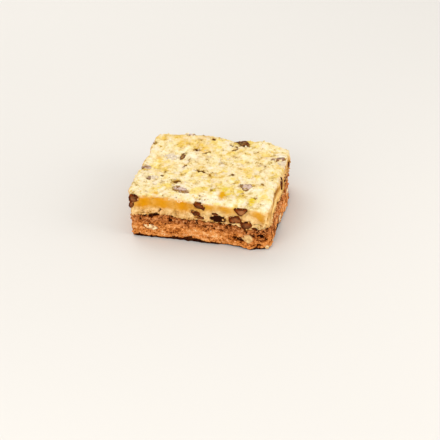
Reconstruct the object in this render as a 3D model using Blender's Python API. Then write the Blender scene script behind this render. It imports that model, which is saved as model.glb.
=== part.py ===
# A square-cut brookie bar: a brownie base with a paler cookie layer baked on top of it.
# Both layers show on all four cut faces. Chocolate chips and nut pieces stand slightly
# proud of the faces they were cut or baked into, and each is fused to its own layer.
# The origin is on the ground under the middle of the base. +X runs along the front face,
# -Y is the front, +Z is up.

import math
import random

import bmesh
import bpy
from mathutils import Euler, Vector, noise

MM = 0.001

# The base's footprint, and the height of the cookie's crust.
BASE_HALF_WIDTH = 38.0 * MM
BASE_HALF_DEPTH = 35.0 * MM
BAR_HEIGHT = 25.6 * MM

# How far the top of each side leans out past the foot of the same side.
LEFT_LEAN = 3.9 * MM
BACK_LEAN = 2.8 * MM
FRONT_LEAN = 2.3 * MM

# Plan radii of the upright corners.
FRONT_LEFT_RADIUS = 1.4 * MM
FRONT_RIGHT_RADIUS = 3.5 * MM
BACK_LEFT_RADIUS = 3.0 * MM
BACK_RIGHT_RADIUS = 7.0 * MM

# The seam between the layers, and the clearance kept across it.
SEAM_HEIGHT = 13.7 * MM
SEAM_GAP = 0.3 * MM
SEAM_FADE_DEPTH = 14.0 * MM
SEAM_ROLL = 0.45 * MM

# The crust drops away near its rim and rolls gently over the rest.
RIM_WIDTH = 2.6 * MM
RIM_DROP = 0.5 * MM
CRUST_ROLL = 0.55 * MM
CRUST_ROLL_LENGTH = 15.0 * MM

# The cut faces are torn rather than flat.
FACE_ROUGHNESS = 0.45 * MM
FACE_ROUGHNESS_LENGTH = 5.0 * MM

# The two layers share one grid, so their faces match across the seam.
GRID_COLUMNS = 24
GRID_ROWS = 22
LAYER_RINGS = 4

# Rises and falls of the seam along the front cut: position along X, half width, height.
SEAM_WAVES = (
    (-35.0 * MM, 4.0 * MM, 0.3 * MM),
    (-20.5 * MM, 5.5 * MM, 1.6 * MM),
    (-6.5 * MM, 3.5 * MM, -0.6 * MM),
    (26.0 * MM, 4.0 * MM, -1.8 * MM),
    (34.0 * MM, 5.0 * MM, -1.1 * MM),
)

# Rises of the seam along the right-hand cut: position along Y, half width, height.
RIGHT_SEAM_WAVES = (
    (-17.0 * MM, 12.0 * MM, 3.0 * MM),
)
RIGHT_SEAM_FADE_WIDTH = 9.0 * MM

# Dents and bulges of the crust: position along X and Y, half width, height.
CRUST_DENTS = (
    (-4.0 * MM, -36.0 * MM, 3.5 * MM, -1.5 * MM),
    (24.0 * MM, -37.0 * MM, 4.5 * MM, -1.1 * MM),
    (37.0 * MM, -37.0 * MM, 6.5 * MM, -2.0 * MM),
    (-38.0 * MM, -2.0 * MM, 3.5 * MM, -1.2 * MM),
    (-14.0 * MM, 36.0 * MM, 14.0 * MM, 1.5 * MM),
    (4.5 * MM, 36.0 * MM, 4.5 * MM, -1.6 * MM),
    (21.0 * MM, 36.0 * MM, 5.0 * MM, 0.9 * MM),
    (36.0 * MM, 33.0 * MM, 8.0 * MM, -1.8 * MM),
)

# Places where the foot of a cut face lifts off the ground: X, Y, half width, lift.
FOOT_LIFTS = (
    (-4.5 * MM, -35.0 * MM, 5.5 * MM, 2.0 * MM),
    (-15.0 * MM, -35.0 * MM, 6.0 * MM, 0.8 * MM),
    (-30.0 * MM, -35.0 * MM, 6.0 * MM, 0.5 * MM),
    (38.0 * MM, -16.0 * MM, 5.0 * MM, 2.4 * MM),
)

# Bulges of the front face toward the viewer: X, half width, reach, height above the ground.
FRONT_BULGES = (
    (27.0 * MM, 7.0 * MM, 2.6 * MM, 0.0 * MM),
    (24.0 * MM, 13.0 * MM, 0.7 * MM, 12.0 * MM),
    (3.0 * MM, 6.0 * MM, 0.9 * MM, 0.0 * MM),
)
FRONT_BULGE_HEIGHT = 9.0 * MM

# Bulges and hollows of the two side faces: Y, half width, reach, height, half height.
LEFT_BULGES = (
    (13.0 * MM, 6.0 * MM, -1.6 * MM, 24.0 * MM, 8.0 * MM),
    (-1.5 * MM, 3.0 * MM, -0.8 * MM, 24.0 * MM, 6.0 * MM),
    (-28.0 * MM, 6.0 * MM, 0.6 * MM, 24.0 * MM, 6.0 * MM),
)
RIGHT_BULGES = (
    (32.0 * MM, 10.0 * MM, -2.6 * MM, 5.0 * MM, 10.0 * MM),
    (22.0 * MM, 12.0 * MM, -0.9 * MM, 24.0 * MM, 8.0 * MM),
    (18.0 * MM, 8.0 * MM, -1.0 * MM, 12.0 * MM, 6.0 * MM),
    (6.0 * MM, 12.0 * MM, 0.9 * MM, 2.0 * MM, 7.0 * MM),
    (-12.0 * MM, 14.0 * MM, -1.2 * MM, 25.0 * MM, 7.0 * MM),
    (6.0 * MM, 6.0 * MM, 0.3 * MM, 25.0 * MM, 6.0 * MM),
)

COOKIE_COLOUR = (0.86, 0.67, 0.31, 1.0)
BROWNIE_COLOUR = (0.50, 0.18, 0.065, 1.0)

# Chips and nut pieces on the cut front: X, Z, width, height, turn in the face, reach out.
COOKIE_FRONT_CHIPS = (
    (-37.0 * MM, 21.6 * MM, 4.6 * MM, 8.4 * MM, 5.0, 0.9 * MM),
    (-0.6 * MM, 22.4 * MM, 6.6 * MM, 4.0 * MM, -20.0, 0.9 * MM),
    (-1.6 * MM, 17.0 * MM, 6.4 * MM, 2.6 * MM, -6.0, 0.7 * MM),
    (9.6 * MM, 16.6 * MM, 8.4 * MM, 3.2 * MM, -4.0, 1.0 * MM),
    (8.6 * MM, 18.7 * MM, 3.8 * MM, 2.2 * MM, 8.0, 0.8 * MM),
    (22.4 * MM, 22.4 * MM, 7.0 * MM, 4.8 * MM, 2.0, 0.7 * MM),
    (18.8 * MM, 17.0 * MM, 7.0 * MM, 3.2 * MM, -5.0, 0.8 * MM),
    (25.2 * MM, 14.9 * MM, 5.8 * MM, 3.8 * MM, 0.0, 0.9 * MM),
)
BROWNIE_FRONT_NUTS = (
    (-27.8 * MM, 7.0 * MM, 7.0 * MM, 3.2 * MM, -8.0, 0.8 * MM),
    (25.4 * MM, 5.6 * MM, 5.6 * MM, 4.8 * MM, -20.0, 0.8 * MM),
    (36.0 * MM, 2.2 * MM, 2.4 * MM, 2.4 * MM, 0.0, 0.4 * MM),
)

# Chips and nut pieces on the right-hand cut: Y, Z, width, height, turn in the face, reach out.
COOKIE_RIGHT_CHIPS = (
    (-0.2 * MM, 20.6 * MM, 4.2 * MM, 7.6 * MM, 5.0, 0.8 * MM),
    (10.4 * MM, 18.6 * MM, 4.8 * MM, 4.4 * MM, -8.0, 0.8 * MM),
)
BROWNIE_RIGHT_NUTS = (
    (-9.0 * MM, 4.4 * MM, 5.6 * MM, 4.6 * MM, 10.0, 0.8 * MM),
)

# Chips that lie in the crust: X, Y, width, depth, turn about the upright, reach up.
CRUST_CHIPS = (
    (-13.4 * MM, -23.0 * MM, 9.2 * MM, 4.8 * MM, -22.0, 0.5 * MM),
    (21.2 * MM, -12.6 * MM, 7.0 * MM, 5.4 * MM, 14.0, 0.5 * MM),
    (-32.0 * MM, -11.6 * MM, 6.4 * MM, 4.4 * MM, -10.0, 0.5 * MM),
    (-26.4 * MM, 11.0 * MM, 6.0 * MM, 6.4 * MM, 8.0, 0.4 * MM),
    (32.4 * MM, 18.6 * MM, 6.4 * MM, 4.6 * MM, 6.0, 0.5 * MM),
    (-38.0 * MM, -1.6 * MM, 6.0 * MM, 4.2 * MM, -12.0, 0.9 * MM),
    (9.0 * MM, 33.6 * MM, 8.4 * MM, 5.4 * MM, -25.0, 1.2 * MM),
    (-21.4 * MM, 35.6 * MM, 5.4 * MM, 3.2 * MM, 0.0, 0.7 * MM),
    (-12.6 * MM, 35.8 * MM, 4.4 * MM, 3.0 * MM, 5.0, 0.6 * MM),
    (-39.6 * MM, 26.4 * MM, 3.2 * MM, 3.6 * MM, 0.0, 0.7 * MM),
)

CHIP_SIDES = 7
CHIP_TIP_RATIO = 0.62
CHIP_THICKNESS = 4.0 * MM
NUT_JITTER = 0.12


def ease(value):
    value = max(0.0, min(1.0, value))
    return value * value * (3.0 - 2.0 * value)


def swell(distance, half_width):
    return math.exp(-((distance / half_width) ** 2))


def layered_noise(point, length):
    scaled = Vector(point) / length
    return noise.noise(scaled) + 0.5 * noise.noise(scaled * 2.1 + Vector((7.3, 1.9, 4.2)))


def corner_radius(x, y):
    if y < 0.0:
        return FRONT_LEFT_RADIUS if x < 0.0 else FRONT_RIGHT_RADIUS
    return BACK_LEFT_RADIUS if x < 0.0 else BACK_RIGHT_RADIUS


def round_corner(x, y):
    """Pulls the square corner of the footprint onto its plan radius."""
    radius = corner_radius(x, y)
    over_x = abs(x) - (BASE_HALF_WIDTH - radius)
    over_y = abs(y) - (BASE_HALF_DEPTH - radius)
    if over_x <= 0.0 or over_y <= 0.0:
        return x, y
    square_reach = max(over_x, over_y)
    scale = square_reach / math.hypot(over_x, over_y)
    new_x = BASE_HALF_WIDTH - radius + over_x * scale
    new_y = BASE_HALF_DEPTH - radius + over_y * scale
    return math.copysign(new_x, x), math.copysign(new_y, y)


def seam_height(x, y):
    depth_in = y + BASE_HALF_DEPTH
    fade = swell(depth_in, SEAM_FADE_DEPTH)
    height = SEAM_HEIGHT
    for centre, half_width, rise in SEAM_WAVES:
        height += rise * swell(x - centre, half_width) * fade
    right_fade = swell(x - BASE_HALF_WIDTH, RIGHT_SEAM_FADE_WIDTH)
    for centre, half_width, rise in RIGHT_SEAM_WAVES:
        height += rise * swell(y - centre, half_width) * right_fade
    roll = noise.noise(Vector((x, y, 0.0)) / (22.0 * MM))
    return height + SEAM_ROLL * roll


def crust_height(x, y):
    rim_x = BASE_HALF_WIDTH - abs(x)
    rim_y = BASE_HALF_DEPTH - abs(y)
    rim = max(0.0, min(rim_x, rim_y))
    height = BAR_HEIGHT - RIM_DROP * (1.0 - ease(rim / RIM_WIDTH))
    for centre_x, centre_y, half_width, rise in CRUST_DENTS:
        height += rise * swell(math.hypot(x - centre_x, y - centre_y), half_width)
    return height + CRUST_ROLL * layered_noise((x, y, 3.1 * MM), CRUST_ROLL_LENGTH)


def foot_height(x, y):
    height = 0.0
    for centre_x, centre_y, half_width, lift in FOOT_LIFTS:
        reach = math.hypot(x - centre_x, (y - centre_y))
        if reach < 2.0 * half_width:
            height += lift * (1.0 - ease(reach / (2.0 * half_width)))
    return height


def side_bulge(bulges, y, height):
    total = 0.0
    for centre, half_width, reach, level, half_height in bulges:
        total += reach * swell(y - centre, half_width) * swell(height - level, half_height)
    return total


def lean_point(x, y, height):
    """Leans the four cut faces out with height, and tears them a little."""
    part_x = x / BASE_HALF_WIDTH
    part_y = y / BASE_HALF_DEPTH
    rise = height / BAR_HEIGHT
    left = max(0.0, -part_x) ** 3
    right = max(0.0, part_x) ** 3
    front = max(0.0, -part_y) ** 3
    back = max(0.0, part_y) ** 3
    corner_hold = 1.0 - 0.75 * swell(y + BASE_HALF_DEPTH, 7.0 * MM)
    shift_x = -left * LEFT_LEAN * rise * corner_hold
    shift_x -= left * side_bulge(LEFT_BULGES, y, height)
    shift_x += right * side_bulge(RIGHT_BULGES, y, height)
    corner_tuck = ease((x - 18.0 * MM) / (18.0 * MM))
    shift_y = back * BACK_LEAN * rise * (1.0 - corner_tuck)
    shift_y -= front * FRONT_LEAN * rise * ease((x + 5.0 * MM) / (35.0 * MM))
    for centre, half_width, reach, level in FRONT_BULGES:
        upright = swell(height - level, FRONT_BULGE_HEIGHT)
        shift_y -= front * reach * swell(x - centre, half_width) * upright
    tear = FACE_ROUGHNESS * layered_noise((x, y, height), FACE_ROUGHNESS_LENGTH)
    shift_x += (right - left) * tear
    shift_y += (back - front) * tear
    return x + shift_x, y + shift_y


def make_material(name, colour, roughness):
    material = bpy.data.materials.new(name)
    material.use_nodes = True
    shader = material.node_tree.nodes["Principled BSDF"]
    shader.inputs["Base Color"].default_value = colour
    shader.inputs["Roughness"].default_value = roughness
    shader.inputs["Metallic"].default_value = 0.0
    return material


def make_layer(name, floor_height, ceiling_height, material):
    """Makes one layer: a grid raised into a slab, then fitted between its two heights."""
    mesh = bpy.data.meshes.new(name)
    bm = bmesh.new()
    bmesh.ops.create_grid(bm, x_segments=GRID_COLUMNS, y_segments=GRID_ROWS, size=1.0)
    faces = bm.faces[:]
    for ring in range(LAYER_RINGS):
        raised = bmesh.ops.extrude_face_region(bm, geom=faces)["geom"]
        if ring > 0:
            bmesh.ops.delete(bm, geom=faces, context="FACES")
        corners = [item for item in raised if isinstance(item, bmesh.types.BMVert)]
        bmesh.ops.translate(bm, verts=corners, vec=(0.0, 0.0, 1.0))
        faces = [item for item in raised if isinstance(item, bmesh.types.BMFace)]
    for vert in bm.verts:
        x, y = round_corner(vert.co.x * BASE_HALF_WIDTH, vert.co.y * BASE_HALF_DEPTH)
        part = vert.co.z / LAYER_RINGS
        low = floor_height(x, y)
        high = ceiling_height(x, y)
        height = low + (high - low) * part
        gap_side = 0.5 * SEAM_GAP if low > SEAM_HEIGHT * 0.5 else -0.5 * SEAM_GAP
        at_seam = 1.0 - part if gap_side > 0.0 else part
        placed_x, placed_y = lean_point(x, y, height)
        vert.co = (placed_x, placed_y, height + gap_side * at_seam)
    bmesh.ops.recalc_face_normals(bm, faces=bm.faces[:])
    bmesh.ops.triangulate(bm, faces=bm.faces[:], quad_method="SHORT_EDGE")
    bm.to_mesh(mesh)
    bm.free()
    mesh.materials.append(material)
    layer = bpy.data.objects.new(name, mesh)
    bpy.context.scene.collection.objects.link(layer)
    return layer


def add_lump(collection, name, location, rotation, size, rng, is_nut):
    """Adds a chip, a blunt faceted cone, or a nut piece, a faceted pebble."""
    bm = bmesh.new()
    if is_nut:
        bmesh.ops.create_icosphere(bm, subdivisions=1, radius=0.5)
        for vert in bm.verts:
            vert.co *= 1.0 + rng.uniform(-NUT_JITTER, NUT_JITTER)
    else:
        bmesh.ops.create_cone(
            bm,
            cap_ends=True,
            segments=CHIP_SIDES,
            radius1=0.5,
            radius2=0.5 * CHIP_TIP_RATIO,
            depth=1.0,
        )
        bmesh.ops.triangulate(bm, faces=bm.faces[:])
    bmesh.ops.scale(bm, verts=bm.verts[:], vec=size)
    bmesh.ops.recalc_face_normals(bm, faces=bm.faces[:])
    mesh = bpy.data.meshes.new(name)
    bm.to_mesh(mesh)
    bm.free()
    lump = bpy.data.objects.new(name, mesh)
    lump.location = location
    lump.rotation_euler = rotation
    collection.objects.link(lump)


def add_front_lumps(collection, places, rng, is_nut):
    for number, (x, height, width, tall, turn, reach) in enumerate(places):
        face_y = lean_point(x, -BASE_HALF_DEPTH, height)[1]
        location = (x, face_y + 0.5 * CHIP_THICKNESS - reach, height)
        rotation = Euler((math.radians(90.0), math.radians(-turn), 0.0))
        size = (width, tall, CHIP_THICKNESS)
        name = f"{collection.name} front {number}"
        add_lump(collection, name, location, rotation, size, rng, is_nut)


def add_right_lumps(collection, places, rng, is_nut):
    for number, (y, height, width, tall, turn, reach) in enumerate(places):
        face_x = lean_point(BASE_HALF_WIDTH, y, height)[0]
        location = (face_x - 0.5 * CHIP_THICKNESS + reach, y, height)
        rotation = Euler((math.radians(90.0 + turn), 0.0, math.radians(90.0)))
        size = (width, tall, CHIP_THICKNESS)
        name = f"{collection.name} right {number}"
        add_lump(collection, name, location, rotation, size, rng, is_nut)


def add_crust_lumps(collection, places, rng):
    for number, (x, y, width, depth, turn, reach) in enumerate(places):
        level = crust_height(x, y) - 0.5 * CHIP_THICKNESS + reach
        rotation = Euler((0.0, 0.0, math.radians(turn)))
        size = (width, depth, CHIP_THICKNESS)
        name = f"{collection.name} crust {number}"
        add_lump(collection, name, (x, y, level), rotation, size, rng, False)


def fuse(layer, collection):
    """Unites a layer with every lump of its collection, then removes the lumps."""
    union = layer.modifiers.new("Lumps", "BOOLEAN")
    union.operation = "UNION"
    union.operand_type = "COLLECTION"
    union.collection = collection
    bpy.context.view_layer.update()
    depsgraph = bpy.context.evaluated_depsgraph_get()
    fused = bpy.data.meshes.new_from_object(layer.evaluated_get(depsgraph))
    layer.modifiers.clear()
    layer.data = fused
    fused.name = layer.name
    for lump in list(collection.objects):
        bpy.data.objects.remove(lump)
    bpy.data.collections.remove(collection)


def new_collection(name):
    collection = bpy.data.collections.new(name)
    bpy.context.scene.collection.children.link(collection)
    return collection


for item in list(bpy.data.objects):
    bpy.data.objects.remove(item)

shapes = random.Random(11)

cookie = make_layer(
    "cookie_top",
    seam_height,
    crust_height,
    make_material("cookie", COOKIE_COLOUR, 0.75),
)
brownie = make_layer(
    "brownie_base",
    foot_height,
    seam_height,
    make_material("brownie", BROWNIE_COLOUR, 0.85),
)

cookie_lumps = new_collection("cookie lumps")
add_front_lumps(cookie_lumps, COOKIE_FRONT_CHIPS, shapes, False)
add_right_lumps(cookie_lumps, COOKIE_RIGHT_CHIPS, shapes, False)
add_crust_lumps(cookie_lumps, CRUST_CHIPS, shapes)
fuse(cookie, cookie_lumps)

brownie_lumps = new_collection("brownie lumps")
add_front_lumps(brownie_lumps, BROWNIE_FRONT_NUTS, shapes, True)
add_right_lumps(brownie_lumps, BROWNIE_RIGHT_NUTS, shapes, True)
fuse(brownie, brownie_lumps)
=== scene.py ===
import math
import random

import bmesh
import bpy
from mathutils import Matrix, Vector, noise


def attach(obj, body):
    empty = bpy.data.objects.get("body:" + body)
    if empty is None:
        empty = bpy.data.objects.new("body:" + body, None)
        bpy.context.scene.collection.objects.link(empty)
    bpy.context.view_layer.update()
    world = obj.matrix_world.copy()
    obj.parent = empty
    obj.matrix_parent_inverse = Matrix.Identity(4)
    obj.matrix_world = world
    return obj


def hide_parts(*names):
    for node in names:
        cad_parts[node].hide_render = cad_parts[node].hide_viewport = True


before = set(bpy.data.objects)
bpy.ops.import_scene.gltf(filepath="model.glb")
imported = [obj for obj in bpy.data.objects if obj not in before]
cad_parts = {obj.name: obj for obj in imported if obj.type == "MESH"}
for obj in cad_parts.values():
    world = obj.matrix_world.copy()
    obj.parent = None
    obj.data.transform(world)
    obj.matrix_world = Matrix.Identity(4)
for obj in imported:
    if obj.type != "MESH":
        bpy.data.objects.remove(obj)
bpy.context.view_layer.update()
print("frame loaded")

# Shapes are worked out in millimetres, and each mesh is scaled to metres when it is finished.
millimetre = 0.001


# Camera, lights and floor

viewValues = {
    "azimuth": 12.732,        # degrees right of the front face
    "elevation": 31.376,
    "roll": -1.09,
    "place": (164.25, -714.63, 440.29),
    "lens": 125.31,
    "sensorWidth": 36.0,
    "nearest": 0.01,          # in metres
}

lightValues = {
    "worldColour": (0.99, 0.985, 0.98, 1.0),
    "worldStrength": 0.92,
    "aim": (0, 0, 10),
    # name, place, width, height, watts, colour
    "lamps": [
        ("backWindow", (-330, 420, 520), 620, 420, 1.45, (1.0, 0.99, 0.97)),
        ("frontFill", (-160, -620, 330), 520, 420, 2.2, (1.0, 0.985, 0.96)),
        ("rightFill", (520, -60, 260), 360, 320, 1.1, (1.0, 0.97, 0.93)),
    ],
}

floorValues = {
    "size": 6000,
    "colour": (0.67, 0.645, 0.605, 1.0),
    "roughness": 0.85,
}


def meshOf(bm, name):
    mesh = bpy.data.meshes.new(name)
    bm.to_mesh(mesh)
    bm.free()
    return mesh


def placeObject(name, data):
    item = bpy.data.objects.new(name, data)
    bpy.context.scene.collection.objects.link(item)
    return item


def makeView():
    data = bpy.data.cameras.new("photoView")
    data.sensor_width = viewValues["sensorWidth"]
    data.lens = viewValues["lens"]
    data.clip_start = viewValues["nearest"]
    camera = placeObject("photoView", data)
    turn = math.radians(viewValues["azimuth"])
    rise = math.radians(viewValues["elevation"])
    back = Vector((math.sin(turn) * math.cos(rise), -math.cos(turn) * math.cos(rise), math.sin(rise)))
    aim = (-back).to_track_quat("-Z", "Y").to_matrix()
    roll = Matrix.Rotation(math.radians(viewValues["roll"]), 3, "Z")
    camera.rotation_euler = (aim @ roll).to_euler()
    camera.location = Vector(viewValues["place"]) * millimetre
    bpy.context.scene.camera = camera


def makeLights():
    world = bpy.data.worlds.new("paleSurround")
    world.use_nodes = True
    sky = world.node_tree.nodes["Background"]
    sky.inputs["Color"].default_value = lightValues["worldColour"]
    sky.inputs["Strength"].default_value = lightValues["worldStrength"]
    bpy.context.scene.world = world
    for name, place, width, height, watts, colour in lightValues["lamps"]:
        data = bpy.data.lights.new(name, "AREA")
        data.shape = "RECTANGLE"
        data.size = width * millimetre
        data.size_y = height * millimetre
        data.energy = watts
        data.color = colour
        lamp = placeObject(name, data)
        lamp.location = Vector(place) * millimetre
        lamp.rotation_euler = (Vector(lightValues["aim"]) - Vector(place)).to_track_quat("-Z", "Y").to_euler()


def makeFloor():
    bm = bmesh.new()
    bmesh.ops.create_grid(bm, x_segments=1, y_segments=1, size=floorValues["size"] * 0.5 * millimetre)
    mesh = meshOf(bm, "paleFloor")
    material = bpy.data.materials.new("paleFloor")
    material.use_nodes = True
    shader = material.node_tree.nodes["Principled BSDF"]
    shader.inputs["Base Color"].default_value = floorValues["colour"]
    shader.inputs["Roughness"].default_value = floorValues["roughness"]
    mesh.materials.append(material)
    placeObject("paleFloor", mesh)


bpy.context.scene.view_settings.view_transform = "Standard"
makeView()
makeLights()
makeFloor()
print("camera, lights and floor made")


# The shape of the whole bar, shared by every piece

barShape = {
    "halfWidth": 38.0,
    "halfDepth": 35.0,
    "height": 25.6,
    "leftLean": 3.9,
    "backLean": 2.8,
    "backLeanEnd": (18, 18),        # X where the lean of the back begins to fade, and how long it fades
    "frontLean": 2.3,
    "frontLeanStart": (-5, 35),     # X where the lean of the front begins, and how long it grows
    "cornerHold": (0.75, 7.0),      # how much less the left side leans near the front, and how far back
    "frontLeftRadius": 1.4,
    "frontRightRadius": 3.5,
    "backLeftRadius": 3.0,
    "backRightRadius": 7.0,
    "seamHeight": 13.7,
    "seamFade": 14.0,
    "seamRoll": 0.45,
    "seamRollLength": 22.0,
    "halfClearance": 0.15,          # of the two layers at the seam
    "rimWidth": 2.6,
    "rimDrop": 0.5,
    "crustRoll": 0.55,
    "crustRollLength": 15.0,
    "tear": 0.45,
    "tearLength": 5.0,
    # X, half width, gap of the places along the front where the two layers have parted
    "seamGaps": [(-28, 5.5, 0.9), (-1, 3, 0.4), (11, 5, 0.4), (27, 3.5, 0.3)],
    # X, half width, rise of the seam along the front cut
    "seamWaves": [(-35, 4, 0.3), (-20.5, 5.5, 1.6), (-6.5, 3.5, -0.6), (26, 4, -1.8), (34, 5, -1.1)],
    # Y, half width, rise of the seam along the right-hand cut, and how far in from the cut it reaches
    "rightWaves": [(-17, 12, 3.0)],
    "rightWaveReach": 9.0,
    # X, Y, half width, rise
    "crustDents": [
        (-4, -36, 3.5, -1.5), (24, -37, 4.5, -1.1), (37, -37, 6.5, -2), (-38, -2, 3.5, -1.2),
        (-14, 36, 14, 1.5), (4.5, 36, 4.5, -1.6), (21, 36, 5, 0.9), (36, 33, 8, -1.8),
    ],
    # X, Y, half width, lift
    "footLifts": [(-4.5, -35, 5.5, 2.0), (-15, -35, 6, 0.8), (-30, -35, 6, 0.5), (38, -16, 5, 2.4)],
    # X, half width, reach, height
    "frontBulges": [(27, 7, 2.6, 0), (24, 13, 0.7, 12), (3, 6, 0.9, 0)],
    "frontBulgeHeight": 9.0,
    # Y, half width, reach, height, half height
    "leftBulges": [(13, 6, -1.6, 24, 8), (-1.5, 3, -0.8, 24, 6), (-28, 6, 0.6, 24, 6)],
    "rightBulges": [
        (32, 10, -2.6, 5, 10), (22, 12, -0.9, 24, 8), (18, 8, -1, 12, 6),
        (6, 12, 0.9, 2, 7), (-12, 14, -1.2, 25, 7), (6, 6, 0.3, 25, 6),
    ],
}


def clamp(value):
    return max(0.0, min(1.0, value))


def ease(value):
    value = clamp(value)
    return value * value * (3.0 - 2.0 * value)


def swell(distance, halfWidth):
    return math.exp(-((distance / halfWidth) ** 2))


def grain(point, size, shift=0.0):
    x, y, z = point[0] / size + shift, point[1] / size - shift, point[2] / size + 0.5 * shift
    return noise.noise(Vector((x, y, z)))


def layeredNoise(point, length):
    scaled = Vector(point) / length
    return noise.noise(scaled) + 0.5 * noise.noise(scaled * 2.1 + Vector((7.3, 1.9, 4.2)))


def roundCorner(x, y):
    side = ("front" if y < 0 else "back") + ("Left" if x < 0 else "Right") + "Radius"
    radius = barShape[side]
    overX = abs(x) - (barShape["halfWidth"] - radius)
    overY = abs(y) - (barShape["halfDepth"] - radius)
    if overX <= 0 or overY <= 0:
        return x, y
    scale = max(overX, overY) / math.hypot(overX, overY)
    newX = barShape["halfWidth"] - radius + overX * scale
    newY = barShape["halfDepth"] - radius + overY * scale
    return math.copysign(newX, x), math.copysign(newY, y)


def seamHeight(x, y):
    fade = swell(y + barShape["halfDepth"], barShape["seamFade"])
    height = barShape["seamHeight"]
    for centre, halfWidth, rise in barShape["seamWaves"]:
        height += rise * swell(x - centre, halfWidth) * fade
    for centre, halfWidth, rise in barShape["rightWaves"]:
        inward = swell(x - barShape["halfWidth"], barShape["rightWaveReach"])
        height += rise * swell(y - centre, halfWidth) * inward
    return height + barShape["seamRoll"] * noise.noise(Vector((x, y, 0)) / barShape["seamRollLength"])


def crustHeight(x, y):
    rim = max(0.0, min(barShape["halfWidth"] - abs(x), barShape["halfDepth"] - abs(y)))
    height = barShape["height"] - barShape["rimDrop"] * (1 - ease(rim / barShape["rimWidth"]))
    for centreX, centreY, halfWidth, rise in barShape["crustDents"]:
        height += rise * swell(math.hypot(x - centreX, y - centreY), halfWidth)
    return height + barShape["crustRoll"] * layeredNoise((x, y, 3.1), barShape["crustRollLength"])


def footHeight(x, y):
    height = 0.0
    for centreX, centreY, halfWidth, lift in barShape["footLifts"]:
        height += lift * (1 - ease(math.hypot(x - centreX, y - centreY) / (2 * halfWidth)))
    return height


def sideBulge(bulges, y, height):
    return sum(reach * swell(y - centre, halfWidth) * swell(height - level, halfHeight)
               for centre, halfWidth, reach, level, halfHeight in bulges)


def leanPoint(x, y, height):
    # moves a point of the upright bar to where the leaning, bulging and torn sides have it
    partX = x / barShape["halfWidth"]
    partY = y / barShape["halfDepth"]
    rise = height / barShape["height"]
    left = max(0.0, -partX) ** 3
    right = max(0.0, partX) ** 3
    front = max(0.0, -partY) ** 3
    back = max(0.0, partY) ** 3
    hold, holdReach = barShape["cornerHold"]
    backEnd, backFade = barShape["backLeanEnd"]
    frontStart, frontGrowth = barShape["frontLeanStart"]
    cornerHold = 1 - hold * swell(y + barShape["halfDepth"], holdReach)
    shiftX = -left * barShape["leftLean"] * rise * cornerHold
    shiftX -= left * sideBulge(barShape["leftBulges"], y, height)
    shiftX += right * sideBulge(barShape["rightBulges"], y, height)
    shiftY = back * barShape["backLean"] * rise * (1 - ease((x - backEnd) / backFade))
    shiftY -= front * barShape["frontLean"] * rise * ease((x - frontStart) / frontGrowth)
    for centre, halfWidth, reach, level in barShape["frontBulges"]:
        upright = swell(height - level, barShape["frontBulgeHeight"])
        shiftY -= front * reach * swell(x - centre, halfWidth) * upright
    tear = barShape["tear"] * layeredNoise((x, y, height), barShape["tearLength"])
    return x + shiftX + (right - left) * tear, y + shiftY + (back - front) * tear


def outlineAt(fraction):
    # walks once round the square footprint, anticlockwise from the front left corner
    run = (fraction % 1.0) * 4
    part = 2 * (run % 1.0) - 1
    u, v = [(part, -1), (1, part), (-part, 1), (-1, -part)][int(run) % 4]
    return roundCorner(u * barShape["halfWidth"], v * barShape["halfDepth"])


def pits(point, size, share, width, shift=0.0):
    # 1 in the middle of a pit, 0 between pits; a share of the cells has one
    spots = noise.voronoi(Vector((point[0] / size + shift, point[1] / size, point[2] / size)))
    spot = spots[1][0]
    if noise.cell(spot * 5.3) * 0.5 + 0.5 > share:
        return 0.0
    return swell(spots[0][0], width)


# What is baked into the bar. Each row is one chip or nut piece: its place along and up the face (X or Y,
# and Z; on the crust X and Y), width, height, turn, reach out of the face, outline, and a last value.

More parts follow.
